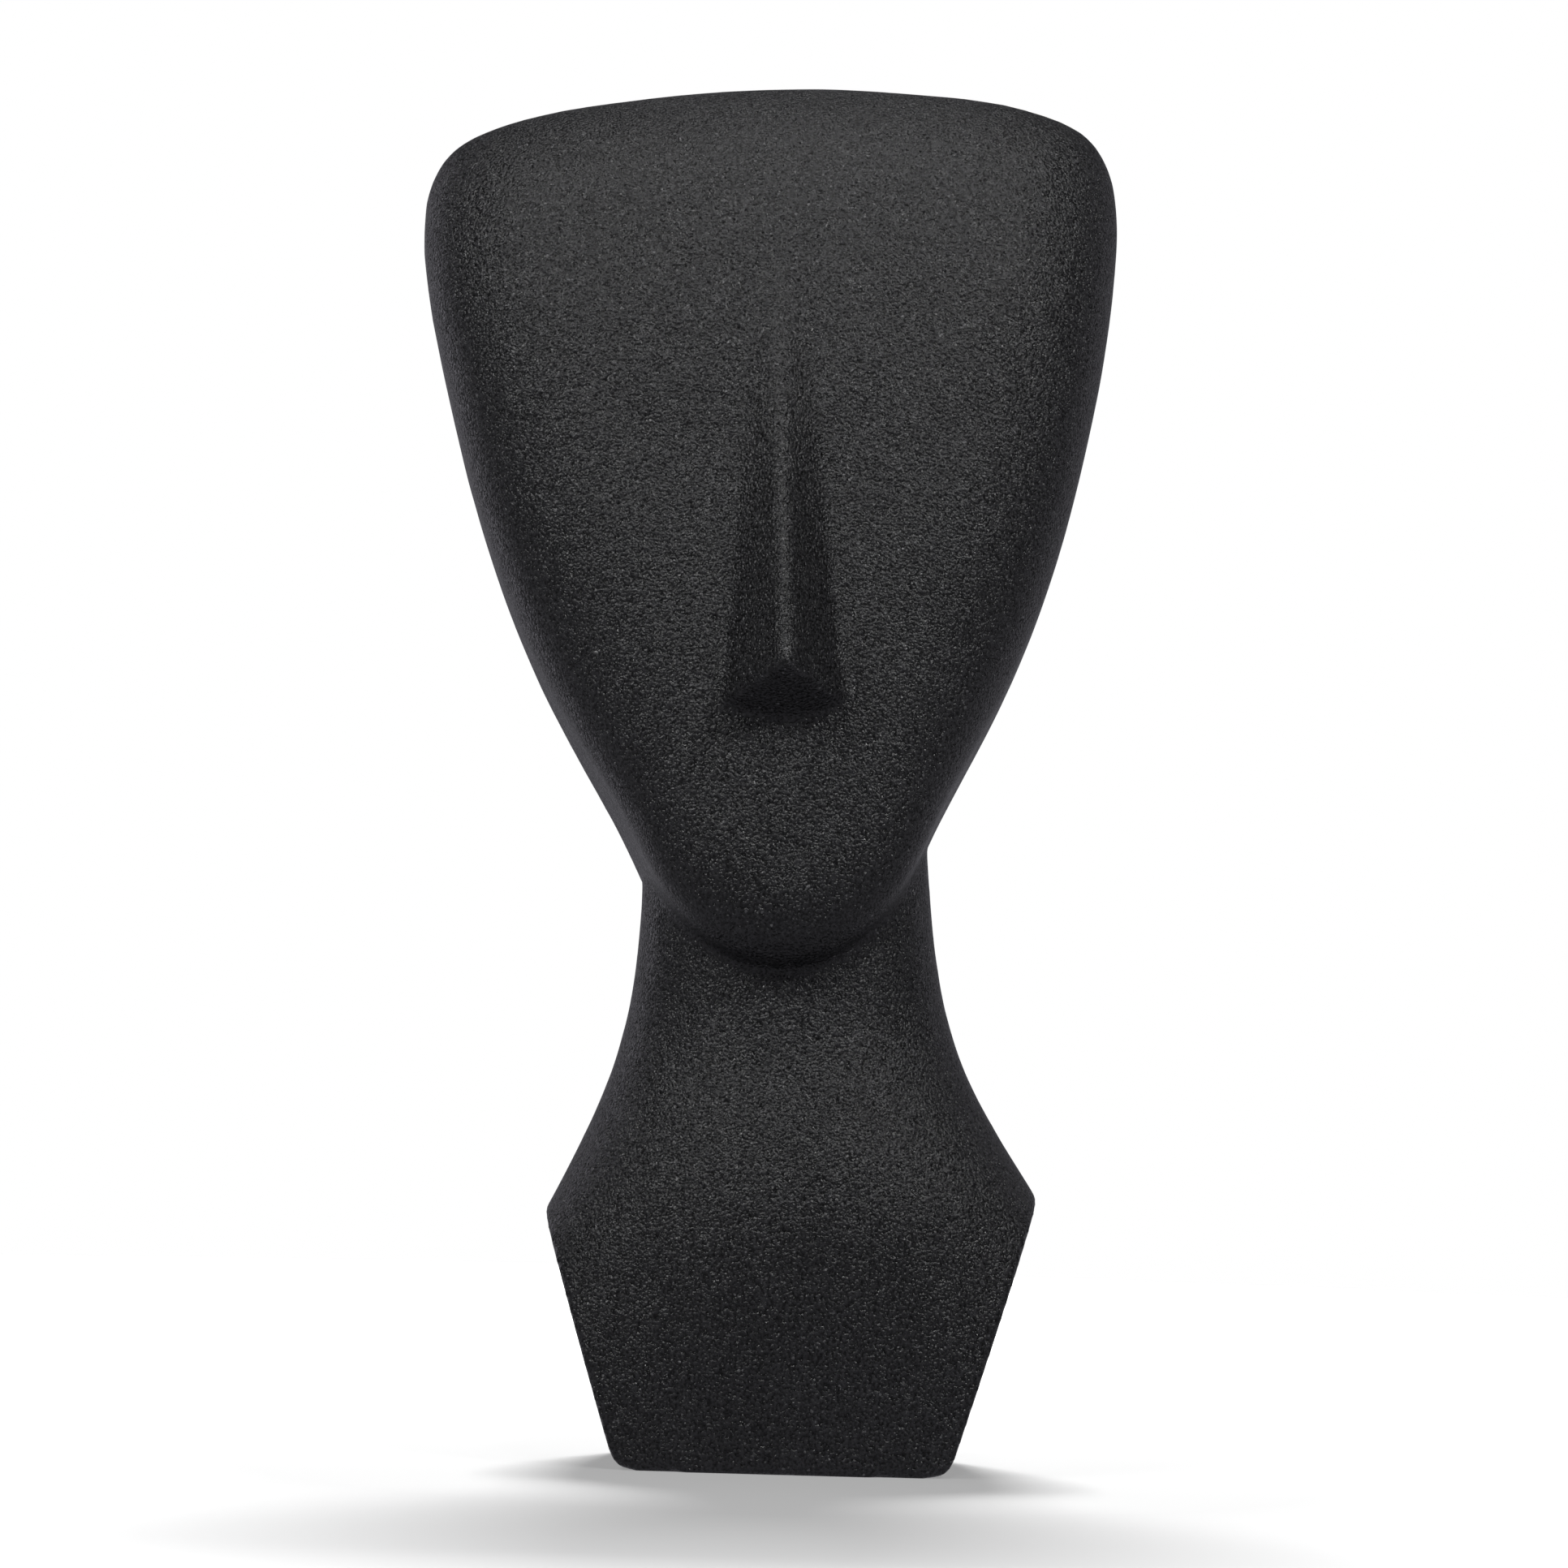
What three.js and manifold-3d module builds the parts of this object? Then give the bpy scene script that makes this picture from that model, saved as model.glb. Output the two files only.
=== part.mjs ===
// A table-top head in the manner of the early marble figures of the Greek islands: a shield-shaped
// face with nothing on it but a long nose, on a high neck that spreads into a small bust. The bust is
// trimmed flat on both sides and below. The whole figure is one casting in black, sand-grained stone
// resin, so it is one solid here.
//
// Millimetres, +Z up. The face looks along -Y, and +X is the viewer's right. The origin is the middle
// of the flat underside. It is a hand-made thing: the head and neck lean a little to the viewer's
// left, and the viewer's right shoulder is the higher one.

import * as THREE from "three";
import { LoftGeometry } from "three/addons/geometries/LoftGeometry.js";
import { mergeVertices, toCreasedNormals } from "three/addons/utils/BufferGeometryUtils.js";
import Module from "manifold-3d";

const degrees = THREE.MathUtils.degToRad;
const { lerp, clamp, smoothstep } = THREE.MathUtils;

// Bust: a bell that is trimmed at the sides and below
const baseWidth = 70.6;
const baseDepth = 54;
const baseCorner = 4;
const sideFlare = degrees(17.4);
const sideLean = degrees(0.3);
const chestDepth = 60;
const chestHeight = 48;
const chestReach = 44;
const shoulderHeight = 55;
const shoulderSpan = 107;
const shoulderTilt = degrees(2.7);
const shoulderSlope = 40;
const shoulderReach = 50;

// Neck
const neckWidth = 61;
const neckDepth = 45;
const neckSetBack = 5;
const neckOffset = 0.6;
const neckLean = degrees(2.6);
const neckInHead = 60;
const neckTaperStart = 35;
const neckTaper = 0.7;

// Head: a rounded slab in a frame of its own, which leans back and a little to the side. The forehead
// starts to slope, and the chin's tuck and its tighter rim end, at shares of the head's height.
const headWidth = 152.5;
const headHeight = 201;
const chinHeight = 102;
const headLean = degrees(12);
const headRoll = degrees(1.9);
const headTurn = degrees(2.4);
const headOffset = -3.3;
const faceForward = 42.5;
const faceBow = 5;
const headBack = 15;
const headBackBow = 7;
const foreheadStart = 0.6;
const foreheadSlope = 14;
const crownSlope = 5;
const crownTilt = degrees(1.5);
const chinTuckEnd = 0.5;
const chinTuck = 6;
const rimWidth = 28;
const rimDepth = 20;
const chinRimWidth = 15;
const chinRimDepth = 11;
const chinRimEnd = 0.4;
const rimShare = 0.48;

// Nose: a wedge with hollow flanks, cut off slantwise below; heights are shares of the head's height
const noseRoot = 0.775;
const noseTip = 0.2895;
const noseFoot = 0.266;
const noseHeight = 17;
const noseWidth = 22.5;
const noseRootWidth = 5;
const noseWidening = 0.6;
const noseWings = 2.3;
const noseWingCurve = 6;
const noseRidge = 1.2;
const noseHollow = 0.1;
const noseSwell = 1.25;
const noseSpread = 1.06;
const noseFootSag = 3.4;
const noseFootDepth = 1;
const noseRootDepth = 0.3;
const noseInFace = 6;

// The right half of the head's outline, from the chin round to the crown: shares of half its width, and
// of its height
const headOutline = outlineOf([
  [0, 0],
  [0.115, 0.008],
  [0.226, 0.034],
  [0.328, 0.079],
  [0.447, 0.169],
  [0.667, 0.325],
  [0.812, 0.468],
  [0.93, 0.644],
  [0.99, 0.775],
  [1, 0.843],
  [0.982, 0.893],
  [0.914, 0.936],
  [0.72, 0.97],
  [0.34, 0.993],
  [0, 1],
]);

function outlineOf(shares) {
  const steps = 8;
  const mirrored = shares.slice(1, -1).reverse().map(([x, z]) => [-x, z]);
  const whole = [...shares, ...mirrored];
  const points = whole.map(([x, z]) => new THREE.Vector3((x * headWidth) / 2, z * headHeight, 0));
  const curve = new THREE.CatmullRomCurve3(points, true, "centripetal");
  return curve.getPoints(steps * points.length).slice(0, steps * (shares.length - 1) + 1);
}

function outlineHalfWidth(z) {
  const i = Math.max(1, headOutline.findIndex((point) => point.y >= z));
  const [a, b] = [headOutline[i - 1], headOutline[i]];
  return lerp(a.x, b.x, (z - a.y) / (b.y - a.y));
}

// How far inside the outline a point of the head's front lies
function outlineDepth(x, z) {
  let nearest = Infinity;
  for (let i = 1; i < headOutline.length; i++) {
    const [a, b] = [headOutline[i - 1], headOutline[i]];
    const [ex, ez] = [b.x - a.x, b.y - a.y];
    const along = clamp(((x - a.x) * ex + (z - a.y) * ez) / (ex * ex + ez * ez), 0, 1);
    nearest = Math.min(nearest, Math.hypot(x - a.x - along * ex, z - a.y - along * ez));
  }
  return nearest;
}

// The bowed face and back of the head, before its rim is rounded
function faceDepth(x, share) {
  const tuck = chinTuck * Math.max(0, 1 - share / chinTuckEnd) ** 2;
  return -faceForward + faceBow * ((2 * x) / headWidth) ** 2 + foreheadSlope * foreheadRise(share) + tuck;
}

function backDepth(x, share) {
  return headBack - headBackBow * ((2 * x) / headWidth) ** 2 - crownSlope * foreheadRise(share);
}

function foreheadRise(share) {
  return Math.max(0, (share - foreheadStart) / (1 - foreheadStart)) ** 2;
}

const headFrame = new THREE.Matrix4()
  .makeTranslation(headOffset, neckSetBack, chinHeight)
  .multiply(new THREE.Matrix4().makeRotationY(-headRoll))
  .multiply(new THREE.Matrix4().makeRotationZ(headTurn))
  .multiply(new THREE.Matrix4().makeRotationX(-headLean));

// The head: level sections of a slab whose rim is rounded both ways, in its own frame
function head() {
  const rings = 58;
  const columns = 14;
  const angles = Array.from({ length: 2 * columns + 1 }, (_, i) => (Math.PI / 2) * (i / columns - 1));
  const section = (height) => {
    const share = height / headHeight;
    const tilt = Math.tan(crownTilt) * smoothstep(share, foreheadStart, 1);
    const points = angles.map((angle) => {
      const x = Math.sin(angle) * outlineHalfWidth(height);
      const [front, back] = [faceDepth(x, share), backDepth(x, share)];
      const width = lerp(chinRimWidth, rimWidth, smoothstep(share, 0, chinRimEnd));
      const depth = lerp(chinRimDepth, rimDepth, smoothstep(share, 0, chinRimEnd));
      const short = Math.max(0, 1 - outlineDepth(Math.abs(x), height) / width);
      const inset = Math.min(depth, rimShare * (back - front)) * (1 - Math.sqrt(1 - short ** 2));
      return { x, front: front + inset, back: back - inset, z: height + x * tilt };
    });
    const fronts = points.map(({ x, front, z }) => new THREE.Vector3(x, front, z));
    const backs = points.map(({ x, back, z }) => new THREE.Vector3(x, back, z)).reverse();
    return [...fronts, ...backs].map((point) => point.applyMatrix4(headFrame));
  };
  const turns = Array.from({ length: rings }, (_, i) => (Math.PI * (i + 0.5)) / rings);
  const sections = turns.map((turn) => section(((1 - Math.cos(turn)) / 2) * headHeight));
  return new LoftGeometry(sections, { capStart: true, capEnd: true });
}

// The nose: sections from its root down to its tip, each with a narrow ridge and hollow flanks, then
// one more at its foot, a little inside the face, so that the underside slants back
function nose() {
  const rows = 14;
  const columns = 8;
  const spans = Array.from({ length: 2 * columns + 1 }, (_, i) => (1 - i / columns) * noseSpread);
  const drop = (noseTip - noseFoot) * headHeight;
  const section = (along, foot) => {
    const width = lerp(noseRootWidth, noseWidth, along ** noseWidening);
    const halfWidth = (width + noseWings * along ** noseWingCurve) / 2;
    const ridge = lerp(noseRoot, noseTip, along) * headHeight;
    const outer = spans.map((span) => {
      const x = span * halfWidth;
      const flank = 1 - (Math.hypot(x, noseRidge) - noseRidge) / halfWidth;
      const rise = flank * lerp(1, flank, noseHollow);
      const off = noseHeight * along ** noseSwell * rise - noseRootDepth * (1 - along);
      if (foot) return [x, ridge - drop - noseFootSag * (1 - span ** 2), -noseFootDepth];
      return [x, ridge - drop * along * (1 - rise), off];
    });
    const place = ([x, z, off]) => new THREE.Vector3(x, faceDepth(x, z / headHeight) - off, z);
    const inner = outer.map(([x, z]) => [x, z, -noseInFace]).reverse();
    return [...outer, ...inner].map((point) => place(point).applyMatrix4(headFrame));
  };
  const sections = Array.from({ length: rows + 1 }, (_, i) => section(i / rows, false));
  return new LoftGeometry([...sections, section(1, true)], { capStart: true, capEnd: true });
}

// Neck and bust: a bell of ellipses, which goes on spreading below the shoulders and ends inside the
// head
function bell() {
  const rings = 34;
  const columns = 60;
  const bottom = -baseCorner;
  const top = chinHeight + neckInHead;
  const section = (z) => {
    const raised = 1 - smoothstep(z, shoulderHeight, chinHeight);
    const inHead = smoothstep(z, chinHeight + neckTaperStart, top);
    const axis = neckOffset - Math.max(0, z - shoulderHeight) * Math.tan(neckLean);
    const depth = bellHalfDepth(z) * lerp(1, neckTaper, inHead);
    return Array.from({ length: columns }, (_, i) => {
      const angle = (2 * Math.PI * i) / columns;
      const x = axis + bellHalfWidth(z) * Math.sin(angle);
      const y = neckSetBack * smoothstep(z, chestHeight, chinHeight) - depth * Math.cos(angle);
      return new THREE.Vector3(x, y, z + x * Math.tan(shoulderTilt) * raised);
    });
  };
  const heights = Array.from({ length: rings + 1 }, (_, i) => lerp(bottom, top, i / rings));
  return new LoftGeometry(heights.map(section), { capStart: true, capEnd: true });
}

function bellHalfWidth(z) {
  const above = (z - shoulderHeight) / shoulderSlope;
  const reach = (z - shoulderHeight) / shoulderReach;
  const spread = above < 0 ? 1 - above : Math.exp(-above - reach ** 2);
  return (neckWidth + (shoulderSpan - neckWidth) * spread) / 2;
}

function bellHalfDepth(z) {
  const above = z - chestHeight;
  if (above < 0) return lerp(chestDepth, baseDepth, (above / chestHeight) ** 2) / 2;
  return lerp(neckDepth, chestDepth, Math.exp(-((above / chestReach) ** 2))) / 2;
}

function sideHalfWidth(z, side) {
  return baseWidth / 2 + z * Math.tan(sideFlare - side * sideLean);
}

// The block that trims the bust flat below and at the sides. Higher up its sides run clear of the neck.
function trimBlock() {
  const cornerSteps = 5;
  const tall = chinHeight + headHeight;
  const depth = 2 * chestDepth;
  const half = baseWidth / 2;
  const right = (z) => sideHalfWidth(z, 1);
  const left = (z) => -sideHalfWidth(z, -1);
  const shape = new THREE.Shape();
  shape.moveTo(half - baseCorner, 0);
  shape.quadraticCurveTo(half, 0, right(baseCorner), baseCorner);
  shape.lineTo(right(tall), tall);
  shape.lineTo(left(tall), tall);
  shape.lineTo(left(baseCorner), baseCorner);
  shape.quadraticCurveTo(-half, 0, baseCorner - half, 0);
  const block = new THREE.ExtrudeGeometry(shape, { depth, bevelEnabled: false, curveSegments: cornerSteps });
  return block.rotateX(Math.PI / 2).translate(0, depth / 2, 0);
}

// Solids
const weld = 0.001;
const crease = degrees(30);
const wasm = await Module();
wasm.setup();

function solidOf(geometry) {
  const bare = geometry.index ? geometry.toNonIndexed() : geometry.clone();
  bare.deleteAttribute("normal");
  bare.deleteAttribute("uv");
  const merged = mergeVertices(bare, weld);
  return new wasm.Manifold(
    new wasm.Mesh({
      numProp: 3,
      vertProperties: merged.getAttribute("position").array,
      triVerts: new Uint32Array(merged.index.array),
    }),
  );
}

function geometryOf(solid) {
  const mesh = solid.getMesh();
  const geometry = new THREE.BufferGeometry();
  geometry.setAttribute("position", new THREE.BufferAttribute(new Float32Array(mesh.vertProperties), 3));
  geometry.setIndex(new THREE.BufferAttribute(new Uint32Array(mesh.triVerts), 1));
  return toCreasedNormals(geometry, crease);
}

const bust = solidOf(bell()).intersect(solidOf(trimBlock()));
const figurine = new THREE.Mesh(
  geometryOf(bust.add(solidOf(head())).add(solidOf(nose()))),
  new THREE.MeshStandardMaterial({ color: 0x1f1f21, roughness: 0.6, metalness: 0 }),
);
figurine.name = "face_figurine";

const group = new THREE.Group();
group.add(figurine);
export default group;
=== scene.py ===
# A black stone-resin head on a pale studio floor. Metres, +Z up; the face looks along -Y.

import math

import bmesh
import bpy
from mathutils import Matrix, Vector, noise
from mathutils.kdtree import KDTree


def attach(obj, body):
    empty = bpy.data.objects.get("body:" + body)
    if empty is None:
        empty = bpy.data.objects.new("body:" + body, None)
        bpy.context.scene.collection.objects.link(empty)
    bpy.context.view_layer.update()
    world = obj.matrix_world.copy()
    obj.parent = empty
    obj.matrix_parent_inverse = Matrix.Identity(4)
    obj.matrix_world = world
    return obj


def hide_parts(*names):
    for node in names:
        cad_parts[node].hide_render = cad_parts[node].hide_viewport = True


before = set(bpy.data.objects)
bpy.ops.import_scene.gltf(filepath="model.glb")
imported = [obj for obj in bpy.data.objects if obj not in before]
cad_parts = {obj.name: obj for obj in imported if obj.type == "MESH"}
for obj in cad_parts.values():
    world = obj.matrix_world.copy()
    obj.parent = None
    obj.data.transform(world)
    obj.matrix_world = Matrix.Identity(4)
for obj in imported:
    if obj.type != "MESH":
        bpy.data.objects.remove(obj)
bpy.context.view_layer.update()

# The casting. The whole head, neck and bust is one pour of black resin filled with fine sand, taken
# from a rubber mould. The sides of the bust and its underside are trimmed, so their edges are crisp.
# A little hand unevenness, at most about 0.2 mm, lies on all of it, the trimmed faces too.
wall_grid = 0.00114
crisp_angle = math.radians(28)
crisp_reach = 0.001
open_reach = 0.006
rub_passes = 12
hand_swell = 0.00018
hand_swell_size = 0.028
hand_ripple = 0.00006
hand_ripple_size = 0.009

casting_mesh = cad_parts["face_figurine"].data.copy()
casting_mesh.name = "casting"
casting_mesh.materials.clear()
casting = bpy.data.objects.new("casting", casting_mesh)
bpy.context.scene.collection.objects.link(casting)

# The crisp edges are found on the solid's own faces, before the even skin replaces them.
cast_form = bmesh.new()
cast_form.from_mesh(casting_mesh)
bmesh.ops.remove_doubles(cast_form, verts=cast_form.verts, dist=1e-6)
crisp_points = []
for edge in cast_form.edges:
    if edge.is_manifold and edge.calc_face_angle() > crisp_angle:
        first, last = edge.verts[0].co, edge.verts[1].co
        steps = max(1, int((last - first).length / wall_grid))
        crisp_points += [first.lerp(last, step / steps) for step in range(steps + 1)]
cast_form.to_mesh(casting_mesh)
cast_form.free()

crisp_tree = KDTree(len(crisp_points))
for number, point in enumerate(crisp_points):
    crisp_tree.insert(point, number)
crisp_tree.balance()

remesh = casting.modifiers.new("even skin", "REMESH")
remesh.mode = "VOXEL"
remesh.voxel_size = wall_grid
skinned_casting = casting.evaluated_get(bpy.context.evaluated_depsgraph_get())
even_mesh = bpy.data.meshes.new_from_object(skinned_casting)
casting.modifiers.clear()
casting.data = even_mesh

cast_form = bmesh.new()
cast_form.from_mesh(even_mesh)
crisp_distance = {vert: crisp_tree.find(vert.co)[2] for vert in cast_form.verts}


def verts_beyond(reach):
    return [vert for vert, distance in crisp_distance.items() if distance > reach]


def even_out(verts, factor):
    bmesh.ops.smooth_vert(
        cast_form, verts=verts, factor=factor, use_axis_x=True, use_axis_y=True, use_axis_z=True
    )


# Rubbing down: each pass evens the surface, then a slightly stronger pass the other way gives back
# the volume, so that rounded rims keep their size.
def rub_down(verts, passes):
    for _ in range(passes):
        even_out(verts, 0.5)
        even_out(verts, -0.52)


open_verts = verts_beyond(open_reach)
half_verts = verts_beyond(open_reach / 2)
near_verts = verts_beyond(crisp_reach)
rub_down(open_verts, 2 * rub_passes)
rub_down(half_verts, rub_passes)
rub_down(near_verts, rub_passes // 2)
even_out(cast_form.verts, 0.5)

# The hand's unevenness fades out towards the crisp edges, and nothing reaches below the underside.
cast_form.normal_update()
for vert in cast_form.verts:
    open_share = min(1, crisp_distance[vert] / open_reach)
    swell = hand_swell * noise.noise(vert.co / hand_swell_size)
    ripple = hand_ripple * noise.noise(vert.co / hand_ripple_size)
    vert.co += vert.normal * (swell + ripple) * open_share
    vert.co.z = max(vert.co.z, 0)
for face in cast_form.faces:
    face.smooth = True
cast_form.to_mesh(even_mesh)
cast_form.free()

# Black sand-filled resin. Sand grains of about 0.5 mm stand in the skin, some of them paler, partly
# pale sand and partly painted glints, and some flat enough to glint. The skin's colour is darker in the
# sand relief's hollows, partly the sand's own tone and partly painted shade; a few air bubbles left
# open pinholes, painted near black as painted shade.
sand_scale = 1700
coarse_sand_scale = 600
patch_scale = 38
grain_scale = 2300
bubble_scale = 150
bubble_radius = 0.06
sand_relief = 0.00045
grain_tilt = 0.4
resin_black = (0.013, 0.013, 0.0139, 1)
pale_sand_and_glint = (0.13, 0.13, 0.133, 1)
pinhole_shade_black = (0.002, 0.002, 0.002, 1)

resin = bpy.data.materials.new("black stone resin")
resin.use_nodes = True
nodes = resin.node_tree.nodes
links = resin.node_tree.links
shader = nodes["Principled BSDF"]
place = nodes.new("ShaderNodeTexCoord").outputs["Object"]


def noise_field(scale, detail):
    field = nodes.new("ShaderNodeTexNoise")
    field.inputs["Scale"].default_value = scale
    field.inputs["Detail"].default_value = detail
    field.inputs["Roughness"].default_value = 0.5
    links.new(place, field.inputs["Vector"])
    return field.outputs["Fac"]


def grain_cells(scale):
    cells = nodes.new("ShaderNodeTexVoronoi")
    cells.inputs["Scale"].default_value = scale
    links.new(place, cells.inputs["Vector"])
    random = nodes.new("ShaderNodeSeparateColor")
    links.new(cells.outputs["Color"], random.inputs["Color"])
    return cells, random


def ranged(value, low, high, to_low, to_high):
    step = nodes.new("ShaderNodeMapRange")
    step.interpolation_type = "SMOOTHSTEP"
    ends = (("From Min", low), ("From Max", high), ("To Min", to_low), ("To Max", to_high))
    for name, number in ends:
        step.inputs[name].default_value = number
    links.new(value, step.inputs["Value"])
    return step.outputs["Result"]


def combined(operation, first, second):
    node = nodes.new("ShaderNodeMath")
    node.operation = operation
    for socket, value in zip(node.inputs, (first, second)):
        if isinstance(value, (int, float)):
            socket.default_value = value
        else:
            links.new(value, socket)
    return node.outputs["Value"]


def laid_over(under, over, share):
    mix = nodes.new("ShaderNodeMix")
    mix.data_type = "RGBA"
    links.new(share, mix.inputs["Factor"])
    for socket, paint in ((mix.inputs["A"], under), (mix.inputs["B"], over)):
        if isinstance(paint, tuple):
            socket.default_value = paint
        else:
            links.new(paint, socket)
    return mix


def vector_step(operation, first, second):
    step = nodes.new("ShaderNodeVectorMath")
    step.operation = operation
    links.new(first, step.inputs[0])
    if isinstance(second, tuple):
        step.inputs[1].default_value = second
    else:
        links.new(second, step.inputs[1])
    return step.outputs["Vector"]


sand = noise_field(sand_scale, 1)
coarse_sand = noise_field(coarse_sand_scale, 2)
patches = noise_field(patch_scale, 3)
grains, grain_random = grain_cells(grain_scale)
bubbles, bubble_random = grain_cells(bubble_scale)
bubble_size = ranged(bubble_random.outputs["Red"], 0.9, 1, 0, bubble_radius)
pinhole = combined("LESS_THAN", bubbles.outputs["Distance"], bubble_size)

# The tone follows the sand relief: partly the sand's own colour, partly painted shade in the hollows
# and painted highlight on the grain tops. It runs past 1 where sand lies thick, so the resin's mix
# isn't clamped.
sand_tone_and_hollow_shade = ranged(sand, 0.33, 0.68, 0.02, 2.4)
patch_tone = ranged(patches, 0.3, 0.7, 0.86, 1.12)
tone = combined("MULTIPLY", sand_tone_and_hollow_shade, patch_tone)
toned_and_shaded_resin = laid_over((0.0, 0.0, 0.0, 1), resin_black, tone)
toned_and_shaded_resin.clamp_factor = False
# The pale grains are partly pale sand and partly painted glints: bright specks painted in for sparkle.
pale_grain_and_glint = ranged(grain_random.outputs["Red"], 0.985, 0.998, 0, 1)
speckled_and_glinting = laid_over(toned_and_shaded_resin.outputs["Result"], pale_sand_and_glint, pale_grain_and_glint)
# The pinholes are painted near black: painted shade inside the holes.
holed_and_shaded = laid_over(speckled_and_glinting.outputs["Result"], pinhole_shade_black, pinhole)
links.new(holed_and_shaded.outputs["Result"], shader.inputs["Base Color"])

coarse_dull = ranged(coarse_sand, 0.3, 0.7, 0.26, 0.34)
sand_dull = ranged(sand, 0.3, 0.7, -0.04, 0.06)
glint = ranged(grain_random.outputs["Green"], 0.9, 0.97, 0, 0.1)
dull = combined("SUBTRACT", combined("ADD", coarse_dull, sand_dull), glint)
links.new(dull, shader.inputs["Roughness"])
shader.inputs["Specular IOR Level"].default_value = 0.5

sand_height = combined("ADD", sand, combined("MULTIPLY", coarse_sand, 0.3))
skin = nodes.new("ShaderNodeBump")
skin.inputs["Strength"].default_value = 1
skin.inputs["Distance"].default_value = sand_relief
links.new(combined("SUBTRACT", sand_height, pinhole), skin.inputs["Height"])

# Each grain's flat face is turned its own way, which gives the skin its glitter.
own_way = vector_step("SUBTRACT", grains.outputs["Color"], (0.5, 0.5, 0.5))
grain_turn = vector_step("MULTIPLY", own_way, (grain_tilt, grain_tilt, grain_tilt))
turned = vector_step("ADD", skin.outputs["Normal"], grain_turn)
grain_normal = nodes.new("ShaderNodeVectorMath")
grain_normal.operation = "NORMALIZE"
links.new(turned, grain_normal.inputs[0])
links.new(grain_normal.outputs["Vector"], shader.inputs["Normal"])

casting.data.materials.append(resin)
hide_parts("face_figurine")
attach(casting, "root")

# The studio. A wide pale floor runs into a pale dome, and both are only there for the camera: the black
# figurine is lit by soft boxes and by the dim room, so the floor throws no light up into its shadows.
floor_size = 0.8
floor_grey = (0.25, 0.25, 0.25, 1)
floor_roughness = 0.9
floor_glow = 0.28
floor_glow_reach = (0.12, 0.5)
dome_size = 6
white = (1, 1, 1, 1)

floor_mesh = bpy.data.meshes.new("floor")
floor_form = bmesh.new()
bmesh.ops.create_circle(floor_form, cap_ends=True, segments=128, radius=floor_size)
floor_form.to_mesh(floor_mesh)
floor_form.free()
floor = bpy.data.objects.new("floor", floor_mesh)
floor_paint = bpy.data.materials.new("pale floor")
floor_paint.use_nodes = True
floor_shader = floor_paint.node_tree.nodes["Principled BSDF"]
floor_shader.inputs["Base Color"].default_value = floor_grey
floor_shader.inputs["Roughness"].default_value = floor_roughness
floor_shader.inputs["Specular IOR Level"].default_value = 0.1
floor_shader.inputs["Emission Color"].default_value = white
floor_mesh.materials.append(floor_paint)

dome_mesh = bpy.data.meshes.new("dome")
dome_form = bmesh.new()
bmesh.ops.create_icosphere(dome_form, subdivisions=5, radius=dome_size)
dome_form.to_mesh(dome_mesh)
dome_form.free()
dome = bpy.data.objects.new("dome", dome_mesh)
dome_paint = bpy.data.materials.new("pale dome")
dome_paint.use_nodes = True
dome_shader = dome_paint.node_tree.nodes["Principled BSDF"]
dome_shader.inputs["Base Color"].default_value = (0, 0, 0, 1)
dome_shader.inputs["Specular IOR Level"].default_value = 0
dome_shader.inputs["Emission Color"].default_value = white
dome_shader.inputs["Emission Strength"].default_value = 1
dome_mesh.materials.append(dome_paint)
for backdrop in (floor, dome):
    bpy.context.scene.collection.objects.link(backdrop)
    backdrop.visible_diffuse = False
    backdrop.visible_glossy = False
    backdrop.visible_shadow = False


def faded(tree, value, start, end, start_light, end_light):
    fall = tree.nodes.new("ShaderNodeMapRange")
    ends = (("From Min", start), ("From Max", end), ("To Min", start_light), ("To Max", end_light))
    for name, number in ends:
        fall.inputs[name].default_value = number
    tree.links.new(value, fall.inputs["Value"])
    return fall.outputs["Result"]


# The floor glows more the further it is from the figurine, so that its rim is lost in the dome.
floor_tree = floor_paint.node_tree
floor_place = floor_tree.nodes.new("ShaderNodeTexCoord").outputs["Object"]
floor_distance = floor_tree.nodes.new("ShaderNodeVectorMath")
floor_distance.operation = "LENGTH"
floor_tree.links.new(floor_place, floor_distance.inputs[0])
floor_light = faded(floor_tree, floor_distance.outputs["Value"], *floor_glow_reach, floor_glow, 1)
floor_tree.links.new(floor_light, floor_shader.inputs["Emission Strength"])

# The dim room is brightest below and a little bright behind, which draws the figurine's rims.
room_from_below = 0.28
room_from_above = 0.01
room_from_behind = 0.07
room = bpy.data.worlds.new("dim room")
bpy.context.scene.world = room
room.use_nodes = True
room_tree = room.node_tree
room_paint = room_tree.nodes["Background"]
room_place = room_tree.nodes.new("ShaderNodeTexCoord").outputs["Generated"]
room_way = room_tree.nodes.new("ShaderNodeSeparateXYZ")
room_tree.links.new(room_place, room_way.inputs["Vector"])
upward, backward = room_way.outputs["Z"], room_way.outputs["Y"]
room_light = room_tree.nodes.new("ShaderNodeMath")
room_light.operation = "ADD"
level_light = faded(room_tree, upward, -0.5, 0.5, room_from_below, room_from_above)
rear_light = faded(room_tree, backward, 0, 0.9, 0, room_from_behind)
for socket, light in zip(room_light.inputs, (level_light, rear_light)):
    room_tree.links.new(light, socket)
room_tree.links.new(room_light.outputs["Value"], room_paint.inputs["Strength"])
room_paint.inputs["Color"].default_value = (0.93, 0.91, 1, 1)


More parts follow.
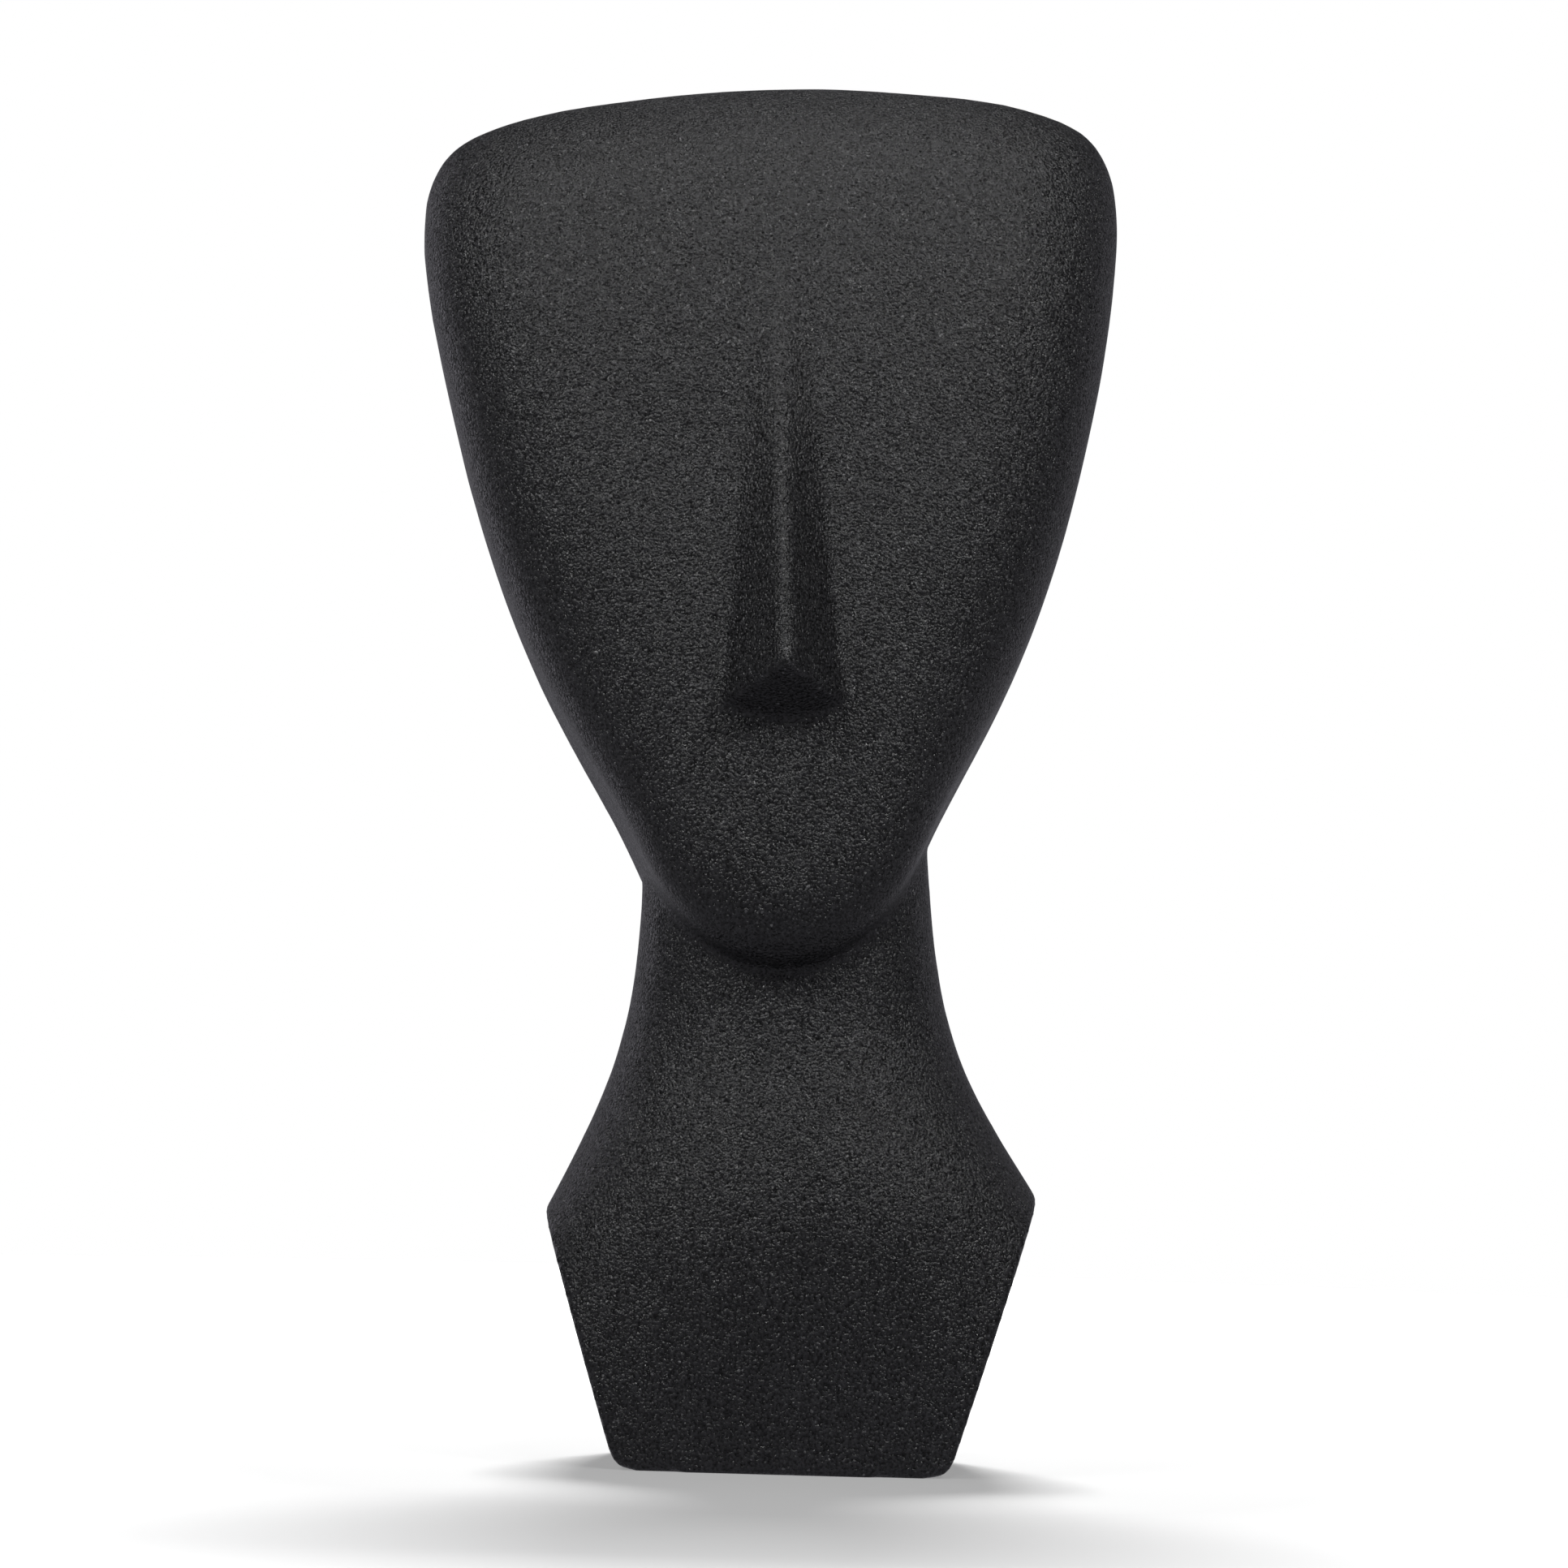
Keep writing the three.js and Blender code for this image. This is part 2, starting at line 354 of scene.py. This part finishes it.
def soft_box(name, eye, aim, size, brightness):
    lamp = bpy.data.lights.new(name, "AREA")
    lamp.shape = "RECTANGLE"
    lamp.size, lamp.size_y = size
    lamp.energy = brightness * math.pi * size[0] * size[1]
    box = bpy.data.objects.new(name, lamp)
    box.location = eye
    box.rotation_euler = (Vector(aim) - Vector(eye)).to_track_quat("-Z", "Y").to_euler()
    box.visible_camera = False
    bpy.context.scene.collection.objects.link(box)
    return box


# Soft boxes, each aimed at the figurine's middle or foot. A narrow cool strip stands behind each side.
middle = (0, 0, 0.15)
foot = (0, 0, 0)
soft_box("key box", (0.25, -0.8, 1.4), middle, (0.22, 0.22), 20)
soft_box("top box", (0, 0.35, 1.6), foot, (0.6, 0.6), 2.8)
soft_box("left box", (-0.95, -0.75, 1.15), middle, (0.5, 0.5), 11)
soft_box("right box", (0.95, -0.75, 1.15), middle, (0.25, 0.25), 36)
for side, brightness in ((-1, 0.7), (1, 0.22)):
    strip = soft_box("side strip", (0.9 * side, 1.0, 0.4), middle, (0.4, 1.2), brightness)
    strip.data.color = (0.93, 0.9, 1)

# One more box stands behind and lights only the floor, so the figurine's soft shadow comes forward.
floor_only = bpy.data.collections.new("floor only")
floor_only.objects.link(floor)
floor_box = soft_box("floor box", (0, 0.9, 1.2), foot, (0.5, 0.3), 130)
floor_box.light_linking.receiver_collection = floor_only

# The camera: level with the lower half of the figurine, a long lens, and turned a little clockwise as
# the photograph is.
view_width = 0.338
view_distance = 1.4
camera_data = bpy.data.cameras.new("camera")
camera_data.sensor_width = 36
camera_data.lens = camera_data.sensor_width * view_distance / view_width
camera = bpy.data.objects.new("camera", camera_data)
eye = Vector((-0.00355, -view_distance, 0.115))
aim = Vector((-0.00355, 0, 0.1465))
turn = Matrix.Rotation(math.radians(1.6), 4, "Z")
camera.matrix_world = (
    Matrix.Translation(eye) @ (aim - eye).to_track_quat("-Z", "Y").to_matrix().to_4x4() @ turn
)
bpy.context.scene.collection.objects.link(camera)
bpy.context.scene.camera = camera
bpy.context.scene.view_settings.view_transform = "Standard"
